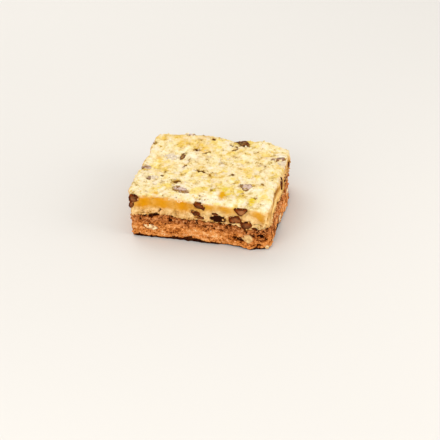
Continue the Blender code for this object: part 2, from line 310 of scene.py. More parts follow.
# the last value is how pale the cut of a chip is (below 0: a black one), and on the crust how grey its top
# is, with grey bloom and a painted reflection of the sky (over 1: under a film of dough)
chipRows = {
    "front": [
        (-36.8, 24, 5.8, 5, 6, 0.75, "round", 0.45),
        (-38, 19.8, 2.8, 4.8, -10, 0.55, "round", 0.35),
        (-0.8, 23.1, 6, 3.8, -16, 0.75, "round", 0.15),
        (1.6, 21.7, 3.2, 2.2, -38, 0.55, "shard", 0.1),
        (-2.8, 17.9, 6, 3, -14, 0.5, "shard", 0.1),
        (-0.8, 16, 5.6, 2.6, -8, 0.45, "shard", 0.2),
        (10, 16.5, 8.8, 4.5, -5, 0.6, "block", -1),
        (8.2, 18.7, 4.2, 2.2, -28, 0.7, "shard", 0.3),
        (22.4, 22.7, 7.4, 5.5, 0, 0.6, "wedge", 0.65),
        (19.1, 17.4, 7.2, 4.3, -3, 0.55, "slab", 0.35),
        (25, 15.1, 6.6, 4.8, -12, 0.6, "round", 0.25),
        (29.8, 13, 3.2, 1.8, -20, 0.4, "shard", 0),
    ],
    "right": [
        (-0.2, 20.6, 3.8, 9.4, 4, 0.7, "lobed", 0),
        (10.4, 18.4, 5.4, 5, -8, 0.5, "round", 0.2),
        (26, 18, 5.2, 3.8, -20, 0.5, "round", 0.7),
    ],
    "left": [
        (-24, 18.2, 5.8, 4.4, 12, 0.5, "round", 0.5),
        (-11, 21.6, 4.8, 3.4, -16, 0.5, "wedge", 0.9),
        (5, 17, 6.4, 3, 6, 0.5, "block", 0.1),
        (17, 20.4, 5, 4.6, 28, 0.5, "round", 0.4),
        (28, 16.8, 4.6, 2.6, -8, 0.5, "shard", 0.2),
    ],
    "back": [
        (-30, 18.4, 5.2, 4.2, 8, 0.5, "round", 0.3),
        (-17, 20.8, 6.2, 3.4, -12, 0.5, "block", 0.6),
        (-6, 16.8, 4.8, 2.4, 18, 0.5, "shard", 0),
        (16, 19.2, 5.6, 4.8, 0, 0.5, "wedge", 0.9),
        (26, 16.4, 4.6, 2.8, -16, 0.5, "block", 0.2),
    ],
    "crust": [
        (-12.8, -25, 9.8, 5.8, -24, 0.3, "block", 1),
        (21.4, -15.3, 8.2, 9.8, 6, 0.25, "wedge", 0.85),
        (-33.2, -14.2, 3.6, 4.6, 10, 0.3, "shard", 0.3),
        (-30, -13.8, 4.4, 4, -10, 0.15, "round", 1.9),
        (-27, 10.2, 8, 8.4, 8, 0.1, "round", 2),
        (-20.5, 11.8, 2.8, 9.6, -6, 0.3, "block", 0.05),
        (32.8, 17.2, 8.4, 5.4, 18, 0.45, "lobed", 0.4),
        (35, 13.6, 5.4, 4.2, 20, 0.12, "round", 2),
        (-36.4, -3.6, 7.8, 5, -24, 1.3, "block", 0.7),
        (7.4, 34, 5.8, 5, -10, 1, "block", 0),
        (10.8, 31.8, 8, 6.4, -40, 1.1, "round", 0),
        (-20.8, 35.7, 5.4, 3.2, 3, 0.4, "block", 1),
        (-39.8, 25, 2.6, 3.4, 0, 0.4, "round", 1),
        (11.2, -3.4, 1.8, 1.6, 0, 0.15, "round", 0),
        (-7.1, 32, 1.8, 1.6, 0, 0.2, "round", 0),
    ],
}

# the last value is how olive the flesh of a nut piece is
nutRows = {
    "front": [
        (-27.8, 6.9, 7.8, 3.4, -9, 0.45, "twin", 0),
        (26.2, 6.8, 7.2, 5.9, -32, 0.5, "lobed", 0.8),
        (36.2, 1.9, 2.6, 2.2, 20, 0.3, "shard", 0.4),
    ],
    "right": [
        (-9, 4.4, 6, 5.4, 10, 0.8, "twin", 0.2),
        (17, 6.4, 5, 3.2, -18, 0.4, "block", 0),
    ],
    "left": [
        (-17, 6.8, 6.2, 3.4, 14, 0.5, "twin", 0),
        (12, 5.2, 5.4, 4, -24, 0.5, "block", 0),
    ],
    "back": [
        (-24, 6, 6, 3.2, -10, 0.5, "block", 0),
        (3, 7.4, 6.4, 3.6, 12, 0.5, "twin", 0),
        (21, 4.6, 4.4, 3, 20, 0.5, "block", 0),
    ],
}

# the along, up and outward directions of each face
faceTurns = {
    "front": ((1, 0, 0), (0, 0, 1), (0, -1, 0)),
    "right": ((0, 1, 0), (0, 0, 1), (1, 0, 0)),
    "left": ((0, -1, 0), (0, 0, 1), (-1, 0, 0)),
    "back": ((-1, 0, 0), (0, 0, 1), (0, 1, 0)),
    "crust": ((1, 0, 0), (0, 1, 0), (0, 0, 1)),
}


def facePlace(side, first, second):
    # a place on a cut face or on the crust
    x, y, z = faceTurns[side][2]
    if z:
        return Vector((first, second, crustHeight(first, second)))
    if y:
        return Vector((first, leanPoint(first, y * barShape["halfDepth"], second)[1], second))
    return Vector((leanPoint(x * barShape["halfWidth"], first, second)[0], first, second))


def settle(side, rows):
    settled = []
    for first, second, width, tall, turn, reach, outline, pale in rows:
        along, up, out = (Vector(direction) for direction in faceTurns[side])
        spin = Matrix.Rotation(math.radians(turn), 3, out)
        settled.append({
            "side": side, "place": facePlace(side, first, second), "along": spin @ along, "up": spin @ up,
            "out": out, "width": width, "tall": tall, "reach": reach, "outline": outline, "pale": pale,
            "moat": 1 - 0.8 * clamp(1.2 * (pale - 1.0)),      # hardly any gap round a chip under a film
        })
    return settled


chips = {side: settle(side, rows) for side, rows in chipRows.items()}
nuts = {side: settle(side, nutRows.get(side, [])) for side in chipRows}


def sideOf(normal):
    if normal.z > 0.6:
        return "crust"
    if abs(normal.y) > abs(normal.x):
        return "front" if normal.y < 0 else "back"
    return "left" if normal.x < 0 else "right"


def moat(point, lumps, gap):
    # 1 in the narrow gap that runs round a chip or nut piece, 0 elsewhere
    deepest = 0.0
    for lump in lumps:
        away = point - lump["place"]
        if away.length_squared > lump["width"] ** 2 + lump["tall"] ** 2:
            continue
        across = 2 * away.dot(lump["along"]) / lump["width"]
        upward = 2 * away.dot(lump["up"]) / lump["tall"]
        ring = math.hypot(across, upward)
        size = 0.25 * (lump["width"] + lump["tall"])
        deepest = max(deepest, lump["moat"] * swell((ring - 1.02) * size, gap))
    return deepest


slitValues = {
    "wander": 1.3,            # how far a slit strays from the line between its points
    "wanderSize": 2.0,
    "narrowing": 1.1,
    "unevenness": 0.9,        # of the width along the slit
    "unevenSize": 1.7,
}


# how deep the slits are at a place, and how much painted shade lies in them
def slitDepth(x, y, slits):
    values = slitValues
    place = (x, y, 0.0)
    x += values["wander"] * grain(place, values["wanderSize"], 81.0)
    y += values["wander"] * grain(place, values["wanderSize"], 91.0)
    pinch = values["narrowing"] + values["unevenness"] * grain(place, values["unevenSize"], 95.0)
    deepest = 0.0
    paintedShadeAndDarkMarks = 0.0
    for run, halfWidth, depth in slits:
        for start, end in zip(run, run[1:]):
            spanX, spanY = end[0] - start[0], end[1] - start[1]
            part = clamp(((x - start[0]) * spanX + (y - start[1]) * spanY) / (spanX * spanX + spanY * spanY))
            away = pinch * math.hypot(x - start[0] - part * spanX, y - start[1] - part * spanY)
            if away < 3 * halfWidth:
                here = swell(away, halfWidth)
                deepest = max(deepest, depth * here)
                paintedShadeAndDarkMarks = max(paintedShadeAndDarkMarks, min(1.0, 1.5 * here * min(1.0, 1.4 * depth)))
    return deepest, paintedShadeAndDarkMarks


def extrudeRing(bm, edges):
    # the vertices and edges of a new ring, raised from a ring of edges
    raised = bmesh.ops.extrude_edge_only(bm, edges=edges)["geom"]
    verts = [item for item in raised if isinstance(item, bmesh.types.BMVert)]
    ring = set(verts)
    edges = [item for item in raised if isinstance(item, bmesh.types.BMEdge) and ring.issuperset(item.verts)]
    return verts, edges


def finishPiece(name, bm, material, smooth=True, replaced=None):
    bmesh.ops.recalc_face_normals(bm, faces=bm.faces[:])
    bmesh.ops.scale(bm, verts=bm.verts[:], vec=(millimetre,) * 3)
    mesh = meshOf(bm, name)
    mesh.materials.append(material)
    if smooth:
        mesh.shade_smooth()
    piece = placeObject(name, mesh)
    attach(piece, "root")
    if replaced:
        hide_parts(replaced)
    print(name, "made with", sum(len(face.vertices) - 2 for face in mesh.polygons), "triangles")
    return piece


# Materials. Their colours are given as they are seen on screen, from 0 to 255.

# Spots are a noise texture: width of a spot, two levels that become 0 and 1, detail, seed, and for some
# how the texture is stretched. Tones add up spots, or marks stored in the mesh, each with its weight; the
# mark of the hollows that they take away is painted shade, with some dark marks laid in it too. Layers are
# laid over each other: mark, colour, spots, strength, way of mixing. Bumps: width of a spot, detail, seed,
# roughness of the texture, depth, strength.

cookiePaint = {
    "tones": [
        ((7.0, 0.34, 0.66, 2.0, 1.0), 0.30), ((2.8, 0.34, 0.66, 3.0, 2.0), 0.50),
        ((0.9, 0.34, 0.66, 4.0, 3.0), 0.24), ((1.2, 0.65, 0.74, 2.0, 6.0), -0.5), ("paintedShadeAndDarkMarks", -0.55),
    ],
    # from the dips to the peaks
    "crust": [
        (0.0, (150, 114, 52)), (0.18, (204, 173, 104)), (0.42, (229, 208, 154)), (0.75, (236, 221, 180)),
        (1.0, (245, 237, 212)),
    ],
    "inside": [
        (0.0, (128, 76, 22)), (0.25, (194, 140, 68)), (0.5, (218, 170, 102)), (0.75, (234, 192, 132)),
        (1.0, (248, 216, 166)),
    ],
    "crustLayers": [
        (None, "buttery", (6.0, 0.46, 0.62, 3.0, 8.0), 0.9, "MULTIPLY"),
        (None, "floury", (5.0, 0.50, 0.64, 4.0, 9.0), 0.6),
        ("chalk", "chalky", None, 0.75),
        ("yellow", "yellowish"),
        ("amber", "brownSugar"),
    ],
    "bandStreaks": (2.0, 0.36, 0.66, 4.0, 7.0, (0.6, 0.6, 1.8)),
    "bandStreakStrength": 0.6,
    "bandShadeStrength": 0.8,
    "toastStrength": 0.8,
    "palePatch": (250, 222, 162),
    "bandDeep": (212, 140, 0),
    "bandLight": (206, 152, 46),
    "bandPale": (224, 174, 92),
    "bandShade": (170, 96, 8),
    "buttery": (250, 236, 154),
    "floury": (236, 222, 202),
    "toasted": (246, 218, 134),
    "chalky": (248, 236, 214),
    "yellowish": (220, 191, 50),
    "brownSugar": (211, 152, 0),
    "paintedShadeAndMarkColour": (92, 50, 10),
    "paintedShadeAndMarkRange": (0.55, 1.0),
    "bumps": [(1.1, 6.0, 4.0, 0.7, 0.4, 0.55), (0.35, 4.0, 5.0, 0.6, 0.15, 0.5)],
    "sockets": {
        "Roughness": 0.7, "Specular IOR Level": 0.06, "Subsurface Weight": 0.1,
        "Subsurface Radius": (1.0, 0.6, 0.25), "Subsurface Scale": 0.001,
    },
}

browniePaint = {
    "tones": [
        ((5.0, 0.34, 0.66, 3.0, 11.0, (0.75, 0.75, 1.25)), 0.28),
        ((1.8, 0.34, 0.66, 3.0, 12.0, (0.75, 0.75, 1.25)), 0.38),
        ((0.8, 0.34, 0.66, 4.0, 13.0), 0.34), ((1.6, 0.60, 0.68, 3.0, 14.0), -0.38),
        ((1.5, 0.60, 0.68, 3.0, 17.0, (0.7, 0.7, 1.5)), 0.4), ("paintedShadeAndDarkMarks", -0.6), ("smearAndPaintedLipHighlight", 0.22),
    ],
    "crumb": [
        (0.0, (88, 28, 0)), (0.2, (178, 96, 32)), (0.45, (224, 138, 64)), (0.72, (246, 166, 92)),
        (1.0, (254, 213, 156)),
    ],
    "upper": [(0.0, (52, 14, 0)), (0.25, (150, 80, 34)), (0.55, (213, 132, 70)), (1.0, (250, 196, 140))],
    "paintedShadeAndMarkColour": (44, 12, 0),
    "paintedShadeAndMarkRange": (0.5, 1.0),
    "bumps": [(1.2, 6.0, 15.0, 0.7, 0.6, 0.9), (0.4, 4.0, 16.0, 0.6, 0.2, 0.7)],
    "sockets": {"Roughness": 0.78, "Specular IOR Level": 0.05},
}

chocolatePaint = {
    "base": (42, 12, 2),
    "layers": [
        ("warm", "warmBrown", (1.6, 0.35, 0.70, 4.0, 21.0)),
        ("cutPale", "freshCut", (2.4, 0.25, 0.55, 4.0, 22.0)),
        ("dust", "dusty"),
        # grey bloom together with a painted reflection of the sky on the tops of the crust chips
        ("bloom", "greyBloomAndPaintedReflection", (2.0, 0.42, 0.54, 4.0, 23.0)),
        ("film", "doughFilm", (2.0, 0.24, 0.44, 4.0, 25.0)),
        ("dust", "grit", (1.5, 0.54, 0.64, 3.0, 26.0), 0.7),
    ],
    "warmBrown": (136, 58, 10),
    "freshCut": (190, 128, 78),
    "dusty": (148, 110, 58),
    "greyBloomAndPaintedReflection": (206, 181, 168),
    "doughFilm": (212, 194, 168),
    "grit": (108, 74, 36),
    "bumps": [(0.9, 5.0, 24.0, 0.6, 0.25, 0.6)],
    "sockets": {"Roughness": 0.5, "Specular IOR Level": 0.03},
}

nutPaint = {
    "base": (248, 222, 168),
    "layers": [
        (None, "vein", (2.2, 0.40, 0.60, 4.0, 31.0), 0.7),
        ("olive", "oliveFlesh", None, 1.0, "MULTIPLY"),
        ("skin", "brownSkin"),
    ],
    "vein": (206, 150, 88),
    "oliveFlesh": (226, 208, 168),
    "brownSkin": (150, 86, 38),
    "bumps": [(0.7, 5.0, 32.0, 0.6, 0.25, 0.6)],
    "sockets": {"Roughness": 0.5},
}


def screenColour(red, green, blue):
    # a colour as it is seen on screen turned into shader values
    parts = [value / 255 for value in (red, green, blue)]
    return (*[part / 12.92 if part < 0.04045 else ((part + 0.055) / 1.055) ** 2.4 for part in parts], 1.0)


class Paint:
    # a material under construction: the colour it has so far, and short ways to add its nodes
    def __init__(self, name, values):
        self.material = bpy.data.materials.new(name)
        self.material.use_nodes = True
        self.tree = self.material.node_tree
        self.shader = self.tree.nodes["Principled BSDF"]
        self.coords = self.tree.nodes.new("ShaderNodeTexCoord").outputs["Object"]
        self.values = values
        self.colour = "base"

    def plug(self, value, socket):
        # a number is set on the socket, the name of a colour is looked up and set, and the rest is linked
        if isinstance(value, str):
            value = screenColour(*self.values[value])
        if isinstance(value, (float, tuple)):
            socket.default_value = value
        else:
            self.tree.links.new(value, socket)

    def node(self, kind, inputs, output, **settings):
        node = self.tree.nodes.new("ShaderNode" + kind)
        for name, value in settings.items():
            setattr(node, name, value)
        for socket, value in inputs.items():
            self.plug(value, node.inputs[socket])
        return node.outputs[output]

    def noise(self, size, low, high, detail, seed, stretch=None, roughness=0.6):
        inputs = {"Vector": self.coords, "W": seed, "Scale": 1.0 / (size * millimetre), "Detail": detail}
        if stretch:
            inputs["Vector"] = self.node("Mapping", {"Vector": self.coords, "Scale": stretch}, "Vector")
        texture = self.node("TexNoise", {**inputs, "Roughness": roughness}, "Fac", noise_dimensions="4D")
        return self.ranged(texture, low, high)

    def ranged(self, value, low, high):
        inputs = {"From Min": low, "From Max": high, "Value": value}
        return self.node("MapRange", inputs, "Result", interpolation_type="SMOOTHSTEP")

    def mark(self, name):
        # a value that is stored in the mesh
        return self.node("Attribute", {}, "Fac", attribute_name=name)

    def sums(self, operation, first, second):
        return self.node("Math", {0: first, 1: second}, "Value", operation=operation, use_clamp=True)

    def mix(self, factor, first, second, blend="MIX"):
        return self.node("Mix", {0: factor, 6: first, 7: second}, 2, data_type="RGBA", blend_type=blend)

    def tone(self):
        total = 0.0
        for source, weight in self.values["tones"]:
            value = self.mark(source) if isinstance(source, str) else self.noise(*source)
            share = self.sums("MULTIPLY", value, abs(weight))
            total = self.sums("ADD" if weight > 0 else "SUBTRACT", total, share)
        return total

    def ramp(self, value, stops):
        node = self.tree.nodes.new("ShaderNodeValToRGB")
        band = node.color_ramp
        for element, (position, colour) in zip(band.elements, (stops[0], stops[-1])):
            element.position = position
            element.color = screenColour(*colour)
        for position, colour in stops[1:-1]:
            band.elements.new(position).color = screenColour(*colour)
        self.plug(value, node.inputs["Fac"])
        return node.outputs["Color"]

    def lay(self, mark, colour, spots=None, strength=1.0, blend="MIX"):
        factors = [self.mark(mark)] if mark else []
        factors += [self.noise(*spots)] if spots else []
        factors += [strength] if strength < 1.0 else []
        while len(factors) > 1:
            factors[:2] = [self.sums("MULTIPLY", factors[0], factors[1])]
        self.colour = self.mix(factors[0], self.colour, colour, blend)

    def layPaintedShadeAndMarks(self):
        # painted shade: the deep places of the mesh, and some dark marks, are darker than any tone
        deep = self.ranged(self.mark("paintedShadeAndDarkMarks"), *self.values["paintedShadeAndMarkRange"])
        self.colour = self.mix(deep, self.colour, "paintedShadeAndMarkColour")

    def finish(self):
        relief = {}
        for size, detail, seed, roughness, depth, strength in self.values["bumps"]:
            height = self.noise(size, 0.2, 0.8, detail, seed, roughness=roughness)
            inputs = {"Distance": depth * millimetre, "Strength": strength, "Height": height, **relief}
            relief["Normal"] = self.node("Bump", inputs, "Normal")
        for name, value in {"Base Color": self.colour, **relief, **self.values["sockets"]}.items():
            self.plug(value, self.shader.inputs[name])
        return self.material


def makeCookieDough():
    values = cookiePaint
    paint = Paint("cookieDough", values)
    tone = paint.tone()
    paint.colour = paint.ramp(tone, values["crust"])
    for layer in values["crustLayers"]:
        paint.lay(*layer)
    paint.lay("cutFace", paint.mix(paint.mark("paleCut"), paint.ramp(tone, values["inside"]), "palePatch"))
    # the golden band: deep or light, streaked where it is light, and darker where the tone is low, which
    # takes in the painted shade
    band = paint.mix(paint.mark("bandDepth"), "bandLight", "bandDeep")
    light = paint.sums("SUBTRACT", 1.0, paint.mark("bandDepth"))
    streaks = paint.sums("MULTIPLY", paint.noise(*values["bandStreaks"]), light)
    band = paint.mix(paint.sums("MULTIPLY", streaks, values["bandStreakStrength"]), band, "bandPale")
    shade = paint.sums("MULTIPLY", paint.sums("SUBTRACT", 0.5, tone), values["bandShadeStrength"])
    paint.lay("golden", paint.mix(shade, band, "bandShade"))
    paint.lay("toast", "toasted", None, values["toastStrength"], "MULTIPLY")
    paint.layPaintedShadeAndMarks()
    return paint.finish()


def makeBrownieCrumb():
    values = browniePaint
    paint = Paint("brownieCrumb", values)
    tone = paint.tone()
    paint.colour = paint.ramp(tone, values["crumb"])
    paint.lay("upper", paint.ramp(tone, values["upper"]))
    paint.layPaintedShadeAndMarks()
    return paint.finish()


def makeLayered(name, values):
    paint = Paint(name, values)
    for layer in values["layers"]:
        paint.lay(*layer)
    return paint.finish()


cookieDough = makeCookieDough()
brownieCrumb = makeBrownieCrumb()
chocolate = makeLayered("chocolate", chocolatePaint)
nutFlesh = makeLayered("nutFlesh", nutPaint)
print("materials made")


# Cookie layer

cookieValues = {
    "columns": 230,
    "rows": 212,
    "wallRings": 32,
    # share of the plan, and a level past the 1 at the foot of the wall
    "undersideRings": [(0.90, 2.0), (0.75, 3.0)],
    # reach to both sides of the top edge, times
    "edgeSmoothing": [(4.0, 30), (2.6, 30), (1.4, 20)],
    "crispReach": 4.0,        # how near the left and back edges the top edge is crisper
    "crispness": 2.2,
    "crustLumps": 0.42,
    "crustLumpSize": 4.6,
    "crustGrain": 0.17,
    "crustGrainSize": 1.4,
    "crackDepth": 0.42,
    "crackSize": 5.0,
    "pitDepth": 0.55,
    "speckDepth": 1.2,
    "cutLumps": 0.22,
    "cutGrain": 0.13,
    "cutCrackDepth": 0.4,
    "cutPitDepth": 0.6,
    "cutRimDepth": 0.25,
    "looseHeight": 19.8,      # below it the cut is crumblier
    "crustSkin": 25.4,        # height at which the colour of the cut gives way to the crust
    "moatDepth": 0.35,
    "moatWidth": 0.32,
    # points along each slit of the crust, half width, depth
    "crustSlits": [
        (((-15.4, 20.4), (-12.8, 19.9)), 0.9, 1),
        (((-10.2, 16.6), (-8.2, 18), (-6.6, 19.2)), 0.7, 0.9),
        (((-10.6, -1.8), (-8, -2.3), (-5.4, -3.5), (-4, -2.8)), 0.75, 1),
        (((-5.6, -3.4), (-4.4, -3.6)), 1, 0.6),
        (((-3.6, -3.4), (-0.8, -5.6)), 0.7, 0.4),
        (((-18.7, -16.6), (-15.9, -16)), 0.65, 0.75),
        (((3.4, 29.9), (6.2, 28.4), (8.3, 25.4), (5.6, 21.8)), 0.6, 1),
        (((-28.6, -12.6), (-26.6, -11.4)), 0.5, 0.6),
        (((-16.4, 2.4), (-17.2, -0.9)), 0.5, 0.6),
        (((24.6, -24.6), (28.4, -26.2)), 0.4, 0.6),
        (((-2.4, -27.4), (0.2, -28.6)), 0.45, 0.6),
    ],
    # points along each crack of the front and the right cut, half width, depth
    "cutSlits": {
        "front": [
            (((-26.5, 14.9), (-24.6, 15.6), (-23, 16.8), (-21.7, 18.2)), 0.65, 1.1),
            (((-33, 15), (-31.4, 14.6)), 0.4, 0.5),
            (((-4.4, 19.2), (-3.2, 18.4)), 0.5, 0.5),
            (((30, 15.6), (33, 15.2)), 0.4, 0.4),
            (((13.4, 18.4), (15.2, 18.8)), 0.4, 0.4),
        ],
        "right": [
            (((-29.4, 18.6), (-28.2, 17.6), (-26, 17.4)), 0.5, 0.5),
            (((3.6, 19), (4.6, 17.6)), 0.45, 0.5),
        ],
    },
    # X, Y, half width, strength of the patches of the crust
    "toastPatches": [
        (-33.6, 7.9, 3, 0.7), (15.7, 2.3, 5, 0.7), (-10.9, 21, 6, 0.7), (23.4, 17.5, 4, 0.6),
        (-31.2, -6.9, 3, 0.6), (3.6, -8.9, 5, 0.5), (-1.7, -5.4, 3.5, 0.6), (-36, 32, 6, 0.8),
        (-26, 34, 7, 0.9), (34, 9.4, 2.2, 0.6), (-22, 27, 6, 0.8), (-16, 33, 5, 0.6),
        (-28, 2, 4, 0.5), (10, 24, 4, 0.5), (-8, 2, 4, 0.5), (-13.7, 26.1, 4, 0.6),
        (-23.1, 1.5, 3.5, 0.3),
    ],
    "chalkPatches": [
        (-2, -31.5, 5, 0.9), (-31, -31, 3.5, 0.6), (-22, -32, 3.5, 0.5), (7.5, -31, 4, 0.7),
        (6, -25, 1.7, 1), (6.8, -28.2, 1.7, 1), (34, -30, 4, 0.7), (-30, -18, 4.5, 0.6),
        (36.5, 14, 3, 0.7), (-24, 7.5, 3.5, 0.6), (15, 12, 6, 0.3), (-13, -20, 4, 0.4),
        (27, -12, 4.5, 0.4), (-28.7, 13.8, 4, 0.6), (-14.2, 11.1, 5, 0.6), (-38, -14, 4, 0.6),
        (2.3, -32.6, 4.5, 0.8), (34.4, 22.8, 4, 0.6), (35.6, -12, 4, 0.6), (-12, -9.5, 4, 0.4),
        (24, 26, 5, 0.4), (24.5, 8, 3, 0.7), (30, 0.8, 3.5, 0.8), (-7, -18.5, 3, 0.5),
        (17, -17.5, 2.4, 0.5), (-24, 2.6, 2.6, 0.4),
    ],
    "yellowPatches": [
        (9.8, -18.6, 1.9, 1), (10.4, -21.4, 2, 0.9), (4.4, -21.8, 1.5, 0.7), (3.9, -25, 0.9, 0.7),
        (12.8, -24.6, 1.6, 0.8), (26.6, -27.4, 1.6, 1.3), (26.9, -30, 1.7, 1.3), (27.2, -32.2, 1.4, 0.9),
        (18.6, -20.6, 2.4, 0.4), (20, -26.4, 2, 0.3), (30, -20, 2, 0.25), (-3, 30, 3, 0.3),
        (16, 12, 3, 0.25),
    ],
    "amberPatches": [
        (9.7, -23.9, 1.4, 1.3), (10, -26, 1.6, 2), (10.3, -28, 1.2, 1.3), (26.8, -29, 1.2, 0.4),
        (27, -31, 1, 0.4), (-25.4, -30.3, 1.6, 0.7), (-11.2, 37.4, 3.2, 0.7), (-16.4, -16.2, 1, 0.5),
        (10.8, -29, 1.7, 0.8), (-33.1, 7.6, 1.8, 0.4),
    ],
    # X, Y, radius, depth of the small dark spots of the crust
    "specks": [
        (-16.6, 2, 0.7, 0.5), (-17, -0.7, 0.6, 0.4), (-19.4, 16.2, 0.6, 0.5), (-16.7, 15, 0.6, 0.5),
        (4.7, -16.2, 0.7, 0.5), (2.3, -16.9, 0.6, 0.4), (-13.6, -32.8, 0.8, 0.5), (-1.6, -27.9, 0.8, 0.5),
        (0.7, -32.3, 1, 0.3), (-26.6, 24, 0.6, 0.4), (-31, 27.6, 0.7, 0.4), (-15.4, 27.4, 0.5, 0.4),
        (5.6, 14.6, 0.6, 0.4), (13.8, 9.2, 0.7, 0.4), (27.6, 3.2, 0.6, 0.3), (20.6, -5.2, 0.6, 0.4),
        (-5.4, 10.6, 0.6, 0.4), (-20.6, -3.4, 0.6, 0.4), (-26, -22.6, 0.7, 0.4), (31.6, -24.4, 0.7, 0.4),
        (-7.2, -13.6, 0.6, 0.4), (16.2, -30.6, 0.6, 0.4), (33.4, -5.6, 0.6, 0.3), (26.4, 26.4, 0.7, 0.4),
        (-33.8, 15.6, 0.7, 0.4), (0.4, 22.2, 0.6, 0.4), (28, -25.6, 0.7, 0.35),
    ],
    # X, Z, half width, strength of the pale crumbly spots of the front cut
    "cutPatches": [
        (-4.6, 17, 2.6, 0.5), (2.6, 16.6, 2.2, 0.6), (32.5, 14.4, 3.6, 0.7), (36.5, 17, 2.6, 0.5),
        (-29, 15.6, 3, 0.1), (14.6, 19.2, 1.6, 0.4), (-12, 17.4, 3, 0.3), (-37, 16, 1.6, 0.4),
        (20.6, 14.4, 2.2, 0.6), (36.8, 19, 3, 0.8), (37, 15, 2.6, 0.8), (13.6, 14.6, 1.6, 0.4),
        (10, 20, 4, 0.7), (16.5, 20.6, 3, 0.6), (26.6, 20.6, 2.2, 0.8), (4, 20.4, 3, 0.5),
        (28, 17.6, 2.6, 0.6), (22, 19.4, 2.4, 0.4), (12, 20, 2.4, 0.4), (5, 18.6, 2, 0.6),
        (-18, 18.6, 4, 0.35), (-30, 18, 4, 0.2), (-36.6, 16.6, 2, 0.6), (35, 16.4, 2.4, 1),
    ],
    # the golden band along the front cut: X, half width, strength, depth of colour
    "bandRuns": [
        (-31, 9, 1, 1), (-21, 11, 1, 0.92), (-10, 8, 1, 0.95), (4, 7, 1, 0.55), (14, 7, 1, 0.5),
        (32.2, 4.6, 1.05, 0.62),
    ],
    "bandLow": 19.6,
    "bandHigh": 24.8,
    "bandLowOthers": 19.8,      # on the other cuts
    # X, half width, rise of the lower edge of the band on the front
    "bandLowWaves": [(9, 9.0, 1.0), (-36, 8.0, -1.6), (-11, 7.0, -1.2)],
    # the gold of the cuts that reaches over the rim: how far in (Y or X), its middle, half width, strength
    "frontRimGold": (-33.1, -23, 13.0, 0.95),
    "rightRimGold": (36.3, -3, 11.0, 0.75),
    # the painted shade line down the front right corner: where it starts, its shade, and a darker painted
    # spot on it
    "cornerLine": {
        "x": 36.4, "y": -30.0, "z": 24.6, "shade": 0.42,
        "spot": (37.6, -35.4, 23.0), "spotShade": 0.4, "spotSize": 2.2,
    },
}


def patchAt(patches, x, y):
    strongest = 0.0
    for centreX, centreY, halfWidth, strength in patches:
        away = math.hypot(x - centreX, y - centreY)
        if away < 2.5 * halfWidth:
            strongest = max(strongest, strength * swell(away, halfWidth))
    return strongest


def crackle(point, size, width, shift):
    # 1 along winding lines, broken up so that they start and stop
    line = swell(grain(point, size, shift), width)
    return line * ease(1.5 * grain(point, 1.7 * size, shift + 9.0) + 0.55)


def seamGap(point):
    if point.y > -25:
        return 0.0
    return sum(gap * swell(point.x - centre, halfWidth) for centre, halfWidth, gap in barShape["seamGaps"])


def bandAt(side, point):
    # how golden the cut face is here, and how deep the gold
    values = cookieValues
    wander = 1.1 * grain(point, 3.4, 5.0) + 0.6 * grain(point, 1.3, 6.0)
    if side == "front":
        strength, depth = 0.2, 0.0
        for centre, halfWidth, full, deep in values["bandRuns"]:
            here = swell(point.x - centre, halfWidth)
            strength = max(strength, full * here)
            depth = max(depth, deep * here)
        low = values["bandLow"] - 3.4 * ease((point.x - 30.5) / 4.5)
        for centre, halfWidth, rise in values["bandLowWaves"]:
            low += rise * swell(point.x - centre, halfWidth)
    else:
        strength = 0.4 + 0.4 * swell(point.y + 3, 11.0) if side == "right" else 0.75
        strength += 0.4 * grain(point, 9.0, 8.0)
        depth = (0.15 if side == "right" else 0.45) + 0.5 * grain(point, 11.0, 9.0)
        low = values["bandLowOthers"]
    high = values["bandHigh"] - 2.4 * ease((point.x - 31) / 4) - 1.0 * swell(point.x + 4, 3)
    high += 0.9 * ease((-8 - point.x) / 8)
    inside = ease((point.z + wander - low + 1.6) / 3.4) * ease((high + 0.9 - point.z - 0.7 * wander) / 2.2)
    if side == "front":
        inside *= 1 - ease((point.x - 35.2 + wander) / 1.6)
    return clamp(strength * inside), clamp(depth)


def crustMarks(point, normal):
    # what the dough reads on the crust: patches, and the gold that reaches over the front and right rims
    wander = 0.8 * grain(point, 2.4, 12.0)
    upright = ease((normal.z - 0.2) / 0.3)
    edge, middle, halfWidth, strength = cookieValues["frontRimGold"]
    front = strength * ease((edge + wander - point.y) / 1.4) * swell(point.x - middle, halfWidth) * upright
    edge, middle, halfWidth, strength = cookieValues["rightRimGold"]
    right = strength * ease((point.x - edge + wander) / 1.4) * swell(point.y - middle, halfWidth) * upright
    marks = {"golden": max(front, right), "bandDepth": ease(5 * front)}
    uneven = 0.8 + 0.6 * grain(point, 1.8, 7.0)
    stain = 1.15 + 0.7 * grain(point, 1.6, 11.0)
    for name, strength in (("toast", uneven), ("chalk", uneven), ("yellow", stain), ("amber", stain)):
        marks[name] = min(1.0, strength * patchAt(cookieValues[name + "Patches"], point.x, point.y))
    return marks


def crustRelief(point):
    values = cookieValues
    lump = values["crustLumps"] * (grain(point, values["crustLumpSize"], 1.0) + 0.6 * grain(point, 2.3, 2.0))
    rough = grain(point, values["crustGrainSize"], 3.0) + 0.7 * grain(point, 0.7, 4.0)
    rough *= values["crustGrain"]
    crack = max(crackle(point, values["crackSize"], 0.05, 12.0), 0.7 * crackle(point, 2.6, 0.07, 15.0))
    pit = max(pits(point, 2.6, 0.24, 0.24, 1.0), 0.8 * pits(point, 1.4, 0.20, 0.30, 2.0))
    slit, slitShade = slitDepth(point.x, point.y, values["crustSlits"])
    speck = patchAt(values["specks"], point.x, point.y)
    depth = values["crackDepth"] * crack + values["pitDepth"] * pit + slit + values["speckDepth"] * speck
    # painted shade in the cracks, pits, slits and dips; the dark specks are laid in the same mark
    shade = max(0.32 * crack, 0.4 * pit, slitShade, 1.9 * speck, -0.2 * (lump + rough))
    return lump + rough - depth, shade


